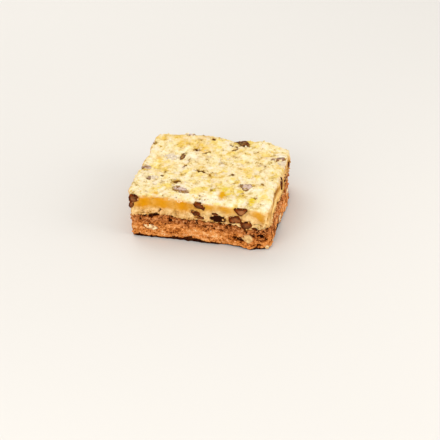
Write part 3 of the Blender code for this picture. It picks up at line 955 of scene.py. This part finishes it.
def cutMarks(side, point, seam, upness):
    # what the dough reads on a cut face, and the painted shade of the line down the front right corner
    values = cookieValues
    line = values["cornerLine"]
    corner = ease((point.x - line["x"]) / 1.2) * ease((line["y"] - point.y) / 3.0)
    corner *= ease((line["z"] - point.z) / 1.2)
    spot = swell((point - Vector(line["spot"])).length, line["spotSize"])
    shade = corner * (line["shade"] + line["spotShade"] * spot)
    skin = values["crustSkin"] + 0.8 * grain(point, 2.0, 71.0)
    marks = {"cutFace": (1 - upness) * ease((skin - point.z) / 3.0)}
    if side == "front":
        pale = (1 - corner) * patchAt(values["cutPatches"], point.x, point.z)
    else:
        pale = max(0.0, grain(point, 4.0, 61.0)) * ease((19.0 - point.z) / 2.0)
    if side == "right":
        # a pale ridge painted as a highlight above the seam, with a painted shade line above that, fading
        # toward the back
        wander = 0.8 * grain(point, 3.0, 65.0)
        front = ease((6.0 - point.y) / 8.0)
        pale = max(pale, 1.1 * front * swell(point.z - seam - 2.8 + wander, 1.4) * (1 - 0.6 * corner))
        shade = max(shade, 0.7 * (front - corner) * swell(point.z - seam - 6.2 + wander, 1.3))
        toast = max(0.0, 0.5 + 0.5 * grain(point, 3.0, 73.0)) * ease((22.0 - point.z) / 4.0)
        marks["toast"] = (1 - upness) * (1 - corner) * toast
    marks["paleCut"] = min(1.0, pale * (0.8 + 0.6 * grain(point, 1.2, 63.0)))
    return marks, shade


def cutRelief(side, point, seam, golden):
    values = cookieValues
    low = ease((values["looseHeight"] - point.z) / 3.0)
    loose = (0.35 + 0.65 * low) * (1 - 0.3 * golden)
    lump = values["cutLumps"] * (0.6 + 0.9 * low) * (grain(point, 3.2, 1.0) + 0.6 * grain(point, 1.6, 2.0))
    rough = values["cutGrain"] * (0.75 + low) * (grain(point, 0.9, 3.0) + 0.5 * grain(point, 0.5, 4.0))
    crack = crackle(point, 2.4, 0.08, 21.0) * loose
    pit = max(pits(point, 2.2, 0.34, 0.26, 3.0), 0.8 * pits(point, 1.2, 0.30, 0.30, 5.0)) * loose
    rim = swell(point.z - seam, 0.8) * (0.6 + 0.8 * grain(point, 2.0, 17.0))
    along = point.x if side == "front" else point.y
    slit, slitShade = slitDepth(along, point.z, values["cutSlits"].get(side, []))
    depth = values["cutCrackDepth"] * crack + values["cutPitDepth"] * pit + values["cutRimDepth"] * rim + slit
    # painted shade in the cracks, pits, slits and dips, and along the seam
    shade = max(0.6 * crack, 0.8 * pit, 0.4 * rim, slitShade, -0.6 * (lump + rough))
    return lump + rough - depth, shade


def raggedRim(point):
    # how far up the lower rim of the cookie is torn at a place; below 0 it hangs down
    return 0.7 * grain(point, 2.0, 51.0) + 0.4 * grain(point, 0.9, 53.0) - 0.25 + seamGap(point)


def edgeDistance(vert, level):
    # how far a vertex of the crust or the cut lies from the top edge; the left and back edges are crisper
    values = cookieValues
    away = level * (barShape["height"] - barShape["seamHeight"])
    if level == 0:
        away = min(barShape["halfWidth"] - abs(vert.co.x), barShape["halfDepth"] - abs(vert.co.y))
    nearLeft = vert.co.x < values["crispReach"] - barShape["halfWidth"]
    nearBack = vert.co.y > barShape["halfDepth"] - values["crispReach"]
    return values["crispness"] * away if nearLeft or nearBack else away


def makeCookieLayer():
    values = cookieValues
    bm = bmesh.new()
    names = ("drop", "shrink", "toast", "chalk", "yellow", "amber", "golden", "bandDepth", "cutFace",
             "paleCut", "paintedShadeAndDarkMarks")
    layers = {name: bm.verts.layers.float.new(name) for name in names}
    drop, shrink = layers["drop"], layers["shrink"]
    bmesh.ops.create_grid(bm, x_segments=values["columns"], y_segments=values["rows"], size=1.0)
    edges = [edge for edge in bm.edges if edge.is_boundary]
    for vert in bm.verts:
        vert[shrink] = 1.0
    wallRings = [(1.0, (ring + 1) / values["wallRings"]) for ring in range(values["wallRings"])]
    for inset, level in wallRings + values["undersideRings"]:
        verts, edges = extrudeRing(bm, edges)
        for vert in verts:
            vert[drop] = level
            vert[shrink] = inset
    bmesh.ops.edgeloop_fill(bm, edges=edges)

    wall = []
    for vert in bm.verts:
        x0, y0 = roundCorner(vert.co.x * barShape["halfWidth"], vert.co.y * barShape["halfDepth"])
        x0, y0 = x0 * vert[shrink], y0 * vert[shrink]
        level = vert[drop]
        seam = seamHeight(x0, y0) + barShape["halfClearance"]
        if level > 2.5:
            z = barShape["seamHeight"] + 0.3
        elif level > 1.5:
            z = seam + 0.1
        else:
            z = crustHeight(x0, y0) * (1 - level) + seam * level
        x, y = leanPoint(x0, y0, z)
        vert.co = (x, y, z)
        if level <= 1.0:
            wall.append(vert)
    for reach, times in values["edgeSmoothing"]:
        edge = [vert for vert in wall if edgeDistance(vert, vert[drop]) < reach]
        for again in range(times):
            bmesh.ops.smooth_vert(bm, verts=edge, factor=0.5, use_axis_x=True, use_axis_y=True,
                                  use_axis_z=True)
    bmesh.ops.recalc_face_normals(bm, faces=bm.faces[:])
    bm.normal_update()

    moves = []
    for vert in wall:
        point = vert.co.copy()
        side = sideOf(vert.normal)
        upness = ease((vert.normal.z - 0.25) / 0.6)      # 1 on the crust, 0 on a cut
        push, shade, marks = 0.0, 0.0, {"golden": 0.0, "bandDepth": 0.0}
        if upness > 0:
            relief, dark = crustRelief(point)
            push += upness * relief
            shade = max(shade, upness * dark)
            marks.update(crustMarks(point, vert.normal))
        if upness < 1:
            seam = seamHeight(point.x, point.y)
            golden, bandDepth = bandAt(side, point)
            relief, dark = cutRelief(side, point, seam, golden)
            push += (1 - upness) * relief
            marks["golden"] = max(marks["golden"], golden * (1 - ease((vert.normal.z - 0.35) / 0.6)))
            marks["bandDepth"] = max(marks["bandDepth"], bandDepth)
            more, cornerShade = cutMarks(side, point, seam, upness)
            marks.update(more)
            shade = max(shade, (1 - upness) * dark, cornerShade)
        gap = moat(point, chips[side], values["moatWidth"]) * (0.65 + 0.7 * grain(point, 1.6, 31.0))
        push -= values["moatDepth"] * gap
        # painted shade in the hollows of the crust and the cuts, and in the gap round each chip
        marks["paintedShadeAndDarkMarks"] = clamp(max(shade, 0.45 * gap))
        for name, mark in marks.items():
            vert[layers[name]] = mark
        moves.append(push)
    for vert, push in zip(wall, moves):
        vert.co += vert.normal * push
        ragged = ease((vert[drop] - 0.86) / 0.14)
        if ragged > 0:
            vert.co.z += ragged * raggedRim(vert.co)
    return finishPiece("cookieLayer", bm, cookieDough, replaced="cookie_top")


cookieLayer = makeCookieLayer()


# Brownie layer

brownieValues = {
    "segments": 1080,
    "wallRings": 46,
    "lumps": 0.34,
    "grain": 0.24,
    "pitDepth": 0.85,
    "crackDepth": 0.55,
    "moatDepth": 0.4,
    "moatWidth": 0.36,
    "footGap": 1.1,
    # inset, share of the height of the lip, of the rings that close the top and the foot
    "topRings": [(3.0, 1.0), (9.0, 1.0)],
    "footRings": [(0.35, 1.0), (0.6, 0.0), (3.2, 0.0), (9.0, 0.0)],
    "footTuck": 0.2,
    "seamTuck": 0.75,
    "plumpness": 0.25,        # makes up for what the pits and cracks take away
    # X, Z, half width, half height of the smooth smears on the front cut
    "smears": [(3, 5.4, 12, 3.0), (-36, 7, 4, 4)],
    # X or Y, Z, half width, half height, depth of single holes on the front and the right cut
    "holes": {
        "front": [
            (19.3, 5.8, 1.9, 1.4, 1.3), (21.6, 5.4, 2.3, 1.6, 1.5), (31.4, 2.6, 1.9, 1.5, 1.3),
            (-8, 10.9, 1.6, 1.1, 0.9), (29, 9, 1.8, 1.4, 1), (33.9, 8.2, 1.6, 1.2, 1.1),
            (-2.6, 11.6, 2, 1.2, 1.1), (2.4, 10.5, 1.6, 0.9, 1), (6, 11.2, 1.4, 0.9, 1),
            (14.4, 11.6, 2, 1, 0.8), (31, 11, 2, 1.1, 1), (35.4, 11.6, 2.2, 1, 1.2),
            (32.4, 8.8, 1.8, 1.2, 1.2), (36, 6.6, 1.4, 1.4, 1), (-16.5, 12.4, 1.3, 1.2, 0.9),
            (35.2, 9.4, 1.6, 1.2, 0.8), (25.6, 10, 1.8, 1, 0.9), (-6.4, 9, 1.2, 0.9, 0.6),
            (7.6, 9.6, 1.3, 0.9, 0.7), (-12, 11, 1.2, 0.9, 0.7), (-33.4, 11.6, 1.4, 1.2, 0.7),
            (-24, 4.2, 1.4, 0.7, 0.4), (0.6, 4.6, 1.6, 0.7, 0.4), (-17.6, 5, 1.5, 0.6, 0.4),
        ],
        "right": [(6.4, 5.4, 1.2, 0.9, 0.9), (-15.4, 2.2, 3.0, 1.6, 0.9), (13.0, 9.0, 1.6, 1.0, 0.7)],
    },
}


def brownieRelief(side, point, seam, low):
    # how far the cut face is pushed out here, how much painted shade it has, how much it is upper crumb, and
    # how pale it is with smears and a painted highlight on the lip above the foot
    values = brownieValues
    flat = Vector((point.x, point.y, point.z * 2.2))
    crumbly = ease((point.z - (seam - 6.0) + 2.0 * grain(point, 5.0, 6.0)) / 3.0)
    smearAndPaintedLipHighlight = clamp(2.4 * grain(flat, 14.0, 25.0) - 0.2) * (1 - crumbly)
    if side == "front":
        smearAndPaintedLipHighlight = 0.9 * swell(point.x - 37, 1.6)
        for x, z, halfWidth, halfHeight in values["smears"]:
            smearAndPaintedLipHighlight = max(smearAndPaintedLipHighlight, swell(point.x - x, halfWidth) * swell(point.z - z, halfHeight))
        crumbly = max(crumbly, swell(point.x - 32.5, 5.0) * swell(point.z - 8.5, 3.5))
        smearAndPaintedLipHighlight *= 1 - crumbly
    streak = grain((point.x, point.y, 0.3 * point.z), 3.6, 83.0) if side == "right" else 0.0
    loose = (0.55 if side == "right" else 1.0) * (1 - 0.65 * smearAndPaintedLipHighlight)
    lump = values["lumps"] * loose * (grain(flat, 4.0, 1.0) + 0.6 * grain(flat, 1.9, 2.0))
    rough = values["grain"] * loose * (0.5 + 0.6 * crumbly)
    rough *= grain(point, 1.0, 3.0) + 0.6 * grain(point, 0.55, 4.0)
    share = (0.18 + 0.34 * crumbly) * loose
    pit = max(pits(point, 2.4, share, 0.28, 1.0), pits(point, 1.25, share, 0.34, 2.0))
    crack = max(crackle(flat, 4.0, 0.06, 33.0), 0.8 * crackle(flat, 2.0, 0.09, 36.0)) * loose
    parted = swell(point.y + 14, 15.0) if side == "right" else 0.0
    # along the seam the cut is tucked in and painted with shade
    tuck = swell(point.z - seam, 0.9 + 0.7 * parted)
    tuck *= 0.75 + 0.8 * grain(point, 2.6, 41.0) + 0.8 * seamGap(point) + 0.4 * parted
    # near the bottom edge the cut is tucked in and painted with shade
    foot = ease((low + 0.55 + 0.5 * grain(point, 2.2, 47.0) - point.z) / 0.6)
    depth = values["pitDepth"] * pit + values["crackDepth"] * crack + values["seamTuck"] * tuck
    depth += values["footTuck"] * foot - values["plumpness"]
    shade = max(0.85 * pit, 0.7 * crack, 0.95 * tuck, foot, -0.6 * (lump + rough), 1.2 * streak)
    smearAndPaintedLipHighlight = max(smearAndPaintedLipHighlight, -2.4 * streak)
    ragged = 1 + 0.5 * grain(point, 1.2, 44.0)
    along = point.x if side == "front" else point.y
    # single holes are sunk in and painted with shade
    for centre, z, halfWidth, halfHeight, deep in values["holes"].get(side, []):
        away = math.hypot((along - centre) / halfWidth, (point.z - z) / halfHeight) * ragged
        if away < 1.6:
            depth += deep * swell(away, 0.75)
            shade = max(shade, min(0.88, 1.3 * deep * swell(away, 0.75)))
    # a painted highlight along the lip just above the foot, laid in with the pale smears
    smearAndPaintedLipHighlight = min(1.0, smearAndPaintedLipHighlight + 1.3 * swell(point.z - low - 1.3, 0.7) * max(0.0, grain(point, 3.0, 49.0) + 0.3))
    upper = clamp(0.8 * crumbly + 0.35 * grain(point, 2.0, 9.0) * crumbly)
    return lump + rough - depth, shade, upper, smearAndPaintedLipHighlight


def makeBrownieLayer():
    values = brownieValues
    bm = bmesh.new()
    names = ("level", "inset", "upper", "paintedShadeAndDarkMarks", "smearAndPaintedLipHighlight", "lifted")
    level, inset, upper, paintedShadeAndDarkMarks, smearAndPaintedLipHighlight, lifted = [bm.verts.layers.float.new(name) for name in names]
    bmesh.ops.create_circle(bm, segments=values["segments"], radius=1.0, cap_ends=False)
    bottom = edges = bm.edges[:]
    for ring in range(values["wallRings"]):
        verts, edges = extrudeRing(bm, edges)
        for vert in verts:
            vert[level] = (ring + 1) / values["wallRings"]
    for edges, height, rings in [(edges, 1.0, values["topRings"]), (bottom, 0.0, values["footRings"])]:
        for depth, lift in rings:
            verts, edges = extrudeRing(bm, edges)
            for vert in verts:
                vert[level] = height
                vert[inset] = depth
                vert[lifted] = lift
        bmesh.ops.edgeloop_fill(bm, edges=edges)

    lows = {}
    for vert in bm.verts:
        x0, y0 = outlineAt(math.atan2(vert.co.y, vert.co.x) / (2 * math.pi) + 1.0)
        tucked = vert[inset] * (1 + 0.9 * max(-0.5, grain((x0, y0, 0.0), 2.0, 5.0)))
        x0 *= 1 - tucked / barShape["halfWidth"]
        y0 *= 1 - tucked / barShape["halfDepth"]
        rough = 0.8 + 0.9 * grain((x0, y0, 0.0), 4.0, 2.0) + 0.5 * grain((x0, y0, 0.0), 1.5, 3.0)
        low = footHeight(x0, y0) + max(0.25, values["footGap"] * rough)
        if vert[inset] > 0:
            low *= vert[lifted]
        high = seamHeight(x0, y0) - barShape["halfClearance"]
        if vert[inset] > 8 and vert[level] > 0.5:
            high = barShape["seamHeight"] - 0.3
        z = low + (high - low) * vert[level]
        x, y = leanPoint(x0, y0, z)
        vert.co = (x, y, z)
        lows[vert] = low
    bmesh.ops.recalc_face_normals(bm, faces=bm.faces[:])
    bm.normal_update()

    wall = [vert for vert in bm.verts if vert[inset] == 0]
    moves = []
    for vert in wall:
        point = vert.co.copy()
        side = sideOf(Vector((vert.normal.x, vert.normal.y, 0.0)))
        seam = seamHeight(point.x, point.y)
        push, shade, vert[upper], vert[smearAndPaintedLipHighlight] = brownieRelief(side, point, seam, lows[vert])
        gap = moat(point, nuts[side], values["moatWidth"]) * (0.7 + 0.7 * grain(point, 1.6, 31.0))
        # painted shade in the hollows of the cut and in the gap round each nut piece
        vert[paintedShadeAndDarkMarks] = clamp(max(shade, 0.5 * gap))
        moves.append(push - values["moatDepth"] * gap)
    for vert, push in zip(wall, moves):
        vert.co += Vector((vert.normal.x, vert.normal.y, 0.0)).normalized() * push
    # painted shade on the underside, darkest in the recess just inside the lifted foot
    for vert in bm.verts:
        if vert[inset] > 0 and vert[level] < 0.5:
            vert[paintedShadeAndDarkMarks] = 0.86 if vert[inset] < 2 else 0.65
    return finishPiece("brownieLayer", bm, brownieCrumb, replaced="brownie_base")


brownieLayer = makeBrownieLayer()


# Chocolate chips and nut pieces

lumpValues = {
    "segments": 36,
    "rings": 20,
    "flatness": 5.0,          # how flat the outer face is before it turns at the rim
    "innerDepth": 0.45,       # of the smaller plan size
    "roughness": 0.12,
    "roughSize": 1.3,
    # number of sides, sharpness of the corners, unevenness
    "outlines": {
        "round": (7, 9.0, 0.22), "block": (5, 14.0, 0.28), "wedge": (3, 4.0, 0.12), "slab": (4, 12.0, 0.10),
        "shard": (5, 12.0, 0.45), "twin": (6, 9.0, 0.20), "lobed": (6, 10.0, 0.36),
    },
    "largest": 1.15,          # of an outline, as a share of half its plan size
    "largestSlab": 1.3,
    "wedgeSide": 0.72,        # how far the sides of a wedge and its blunt tip lie from the middle
    "wedgeTip": 0.95,
}


def outlineRadius(kind, angle, seed):
    values = lumpValues
    sides, sharpness, uneven = values["outlines"][kind]
    total = 0.0
    for side in range(sides):
        dice = noise.cell(Vector((seed + 1.31 * side, 2.7, 0.5)))
        turn = 2 * math.pi * (side + 0.28 * dice) / sides + math.pi / 2
        reach = 1.04 - uneven * (0.5 + 0.5 * noise.cell(Vector((seed + 0.77 * side, 9.1, 3.5))))
        if kind == "wedge":
            turn = 2 * math.pi * side / sides + math.pi / 2
            reach *= values["wedgeSide"]
        lean = math.cos(angle - turn)
        if lean > 0:
            total += (lean / reach) ** sharpness
    if kind == "wedge":
        total += (max(0.0, -math.sin(angle)) / values["wedgeTip"]) ** sharpness
    wander = 1 + 0.10 * noise.noise(Vector((4 * math.cos(angle), 4 * math.sin(angle), seed)))
    return min(values["largestSlab" if kind == "slab" else "largest"], wander * total ** (-1 / sharpness))


def manyOf(template, count, names):
    # one mesh with many copies of a small one, the vertices of each copy, and its named layers
    bm = bmesh.new()
    for copy in range(count):
        bm.from_mesh(template)
    layers = {name: bm.verts.layers.float.new(name) for name in names}
    verts = bm.verts[:]
    each = len(template.vertices)
    bpy.data.meshes.remove(template)
    return bm, [verts[copy * each:(copy + 1) * each] for copy in range(count)], layers


def ballTemplate(segments, rings):
    bm = bmesh.new()
    bmesh.ops.create_uvsphere(bm, u_segments=segments, v_segments=rings, radius=1.0)
    return meshOf(bm, "ballTemplate")


def shapeLump(made, lump, seed, layers):
    # turns a ball into a lump: a flattish face outside, and a rounded part that is sunk into the bar
    values = lumpValues
    onCrust = lump["side"] == "crust"
    twin = lump["outline"] == "twin"
    inner = values["innerDepth"] * min(lump["width"], lump["tall"])
    warmth = 0.0 if lump["pale"] < 0 else 0.7 + 0.3 * noise.cell(Vector((seed, 5.0, 1.0)))
    pale = max(0.0, lump["pale"])
    for vert in made:
        ring = min(1.0, math.hypot(vert.co.x, vert.co.y))
        angle = math.atan2(vert.co.y, vert.co.x)
        radius = outlineRadius(lump["outline"], angle, seed)
        bend = vert.co.x - 0.12 - 0.3 * math.sin(2.2 * vert.co.y + seed)      # runs along the fold of a twin
        out = inner * vert.co.z
        if vert.co.z > 0:
            out = lump["reach"] * (1 - ring ** values["flatness"]) ** 0.5
            if onCrust:
                out *= 0.55 + 0.45 * math.cos(ring * 1.4)
            if twin:
                out *= 0.45 + 0.55 * min(1.0, 3.0 * abs(bend))
        across = 0.5 * lump["width"] * ring * radius * math.cos(angle)
        upward = 0.5 * lump["tall"] * ring * radius * math.sin(angle)
        place = lump["place"] + across * lump["along"] + upward * lump["up"] + out * lump["out"]
        rough = grain(place, values["roughSize"], seed) + 0.5 * grain(place, 0.5, seed + 3)
        skin = max(0.7 * ease((ring - 0.78) / 0.22), 0.8 * swell(bend, 0.15) if twin else 0.0)
        marks = {
            "cutPale": 0.0, "bloom": 0.0, "film": 0.0, "dust": 0.0, "warm": warmth, "olive": pale,
            "skin": skin if out > 0 else 1.0,
        }
        if onCrust:
            # the top of a crust chip takes grey bloom and a painted reflection of the sky
            marks["bloom"] = min(1.0, pale) * ease((0.98 - ring) / 0.35)
            marks["film"] = max(0.0, pale - 1.0)
            marks["dust"] = ease(0.35 + 0.35 * min(1.0, pale) + 0.7 * grain(place, 1.4, seed + 9))
        elif out > 0:
            within = math.hypot(vert.co.x - 0.16, vert.co.y + 0.06)
            face = ease((out / max(0.05, lump["reach"]) - 0.35) / 0.4)
            marks["cutPale"] = pale * ease((0.86 - within) / 0.50) * face
        for name, layer in layers.items():
            vert[layer] = marks[name]
        outward = lump["out"] + 0.5 * (across * lump["along"] + upward * lump["up"]).normalized()
        vert.co = place + values["roughness"] * rough * outward


def inOrder(lumpsBySide):
    return [lump for side in sorted(lumpsBySide) for lump in lumpsBySide[side]]


def makeLumps(name, lumps, material, marks, seed):
    ball = ballTemplate(lumpValues["segments"], lumpValues["rings"])
    bm, copies, layers = manyOf(ball, len(lumps), marks)
    for number, lump in enumerate(lumps):
        shapeLump(copies[number], lump, seed + 1.7 * number, layers)
    return finishPiece(name, bm, material)


chipMarks = ("cutPale", "dust", "bloom", "film", "warm")
makeLumps("chocolateChips", inOrder(chips), chocolate, chipMarks, 3.0)
makeLumps("nutPieces", inOrder(nuts), nutFlesh, ("skin", "olive"), 40.0)


# Crumbs that cling to the crust and the cut faces

crumbValues = {
    "segments": 7,
    "rings": 5,
    "cookieCount": 2000,
    "brownieCount": 2400,
    "rimCrumbs": 7,           # lapping over the rim of a large chip or nut piece
    "smallest": 0.35,
    "largest": 1.5,
    "sizeBias": 3.2,          # the higher, the fewer large ones
    "sunk": 0.34,
}


def crumbDensity(kind, point, normal):
    if kind == "cookie":
        return 0.25 if normal.z > 0.6 else 0.02 + 0.9 * ease((19.0 - point.z) / 3.0)
    if normal.z < -0.5 or point.z < 1.5:
        return 0.0
    return (0.3 + 0.7 * ease((point.z - 7.0) / 4.0)) * (0.6 if normal.x > 0.6 else 1.0)


def shapeCrumb(made, place, normal, size, dice, marks):
    axis = Vector((dice.gauss(0, 1), dice.gauss(0, 1), dice.gauss(0, 1))).normalized()
    tilt = Matrix.Rotation(dice.uniform(0, 2 * math.pi), 3, axis)
    stretch = Vector((dice.uniform(0.7, 1.3), dice.uniform(0.7, 1.3), dice.uniform(0.6, 1.0)))
    shift = Vector((dice.uniform(0, 50), dice.uniform(0, 50), dice.uniform(0, 50)))
    middle = place + normal * size * (0.5 * stretch.z - crumbValues["sunk"])
    for vert in made:
        wander = 1 + 0.75 * noise.noise(vert.co * 1.1 + shift)
        vert.co = middle + (tilt @ (vert.co * stretch)) * (0.5 * size * wander)
        for layer, mark in marks:
            vert[layer] = mark


def rimPlace(lump, dice):
    # a place on the rim of a chip or nut piece, where a crumb laps over it
    angle = dice.uniform(0, 2 * math.pi)
    out = dice.uniform(0.88, 1.05)
    across = 0.5 * lump["width"] * out * math.cos(angle)
    upward = 0.5 * lump["tall"] * out * math.sin(angle)
    return lump["place"] + across * lump["along"] + upward * lump["up"] + 0.1 * lump["out"], lump["out"]


def makeCrumbs(name, kind, carrier, lumps, material, seed):
    dice = random.Random(seed)
    values = crumbValues
    # the extrusions leave the faces in no fixed order, so they are put in order before any are drawn
    polygons = sorted(carrier.data.polygons, key=lambda face: sorted(face.vertices))
    second = "cutFace" if kind == "cookie" else "upper"
    ball = ballTemplate(values["segments"], values["rings"])
    bm, copies, layers = manyOf(ball, values[kind + "Count"], ("paintedShadeAndDarkMarks", second))
    rims = []      # one entry for each crumb that laps over a rim, more of them on a wide lump
    for lump in lumps:
        rims += [lump] * int(values["rimCrumbs"] * ease((lump["width"] - 2.2) / 3.0))
    for made in copies:
        point, normal = rimPlace(rims.pop(), dice) if rims else (None, None)
        while point is None:
            face = polygons[dice.randrange(len(polygons))]
            if dice.random() < crumbDensity(kind, face.center / millimetre, face.normal):
                point, normal = face.center / millimetre, face.normal.copy()
        size = dice.random() ** values["sizeBias"]
        size = values["smallest"] + (values["largest"] - values["smallest"]) * size
        mark = 0.8 * ease((point.z - 8.0) / 3.0)
        if kind == "cookie":
            mark = 0.0 if normal.z > 0.6 else 1.0
        # each crumb is darkened at random in the mark that also carries the painted shade
        marks = ((layers["paintedShadeAndDarkMarks"], 0.6 * dice.random() ** 2), (layers[second], mark))
        shapeCrumb(made, point, normal, size, dice, marks)
    return finishPiece(name, bm, material, smooth=False)


makeCrumbs("cookieCrumbs", "cookie", cookieLayer, inOrder(chips), cookieDough, 5)
makeCrumbs("brownieCrumbs", "brownie", brownieLayer, inOrder(nuts), brownieCrumb, 6)
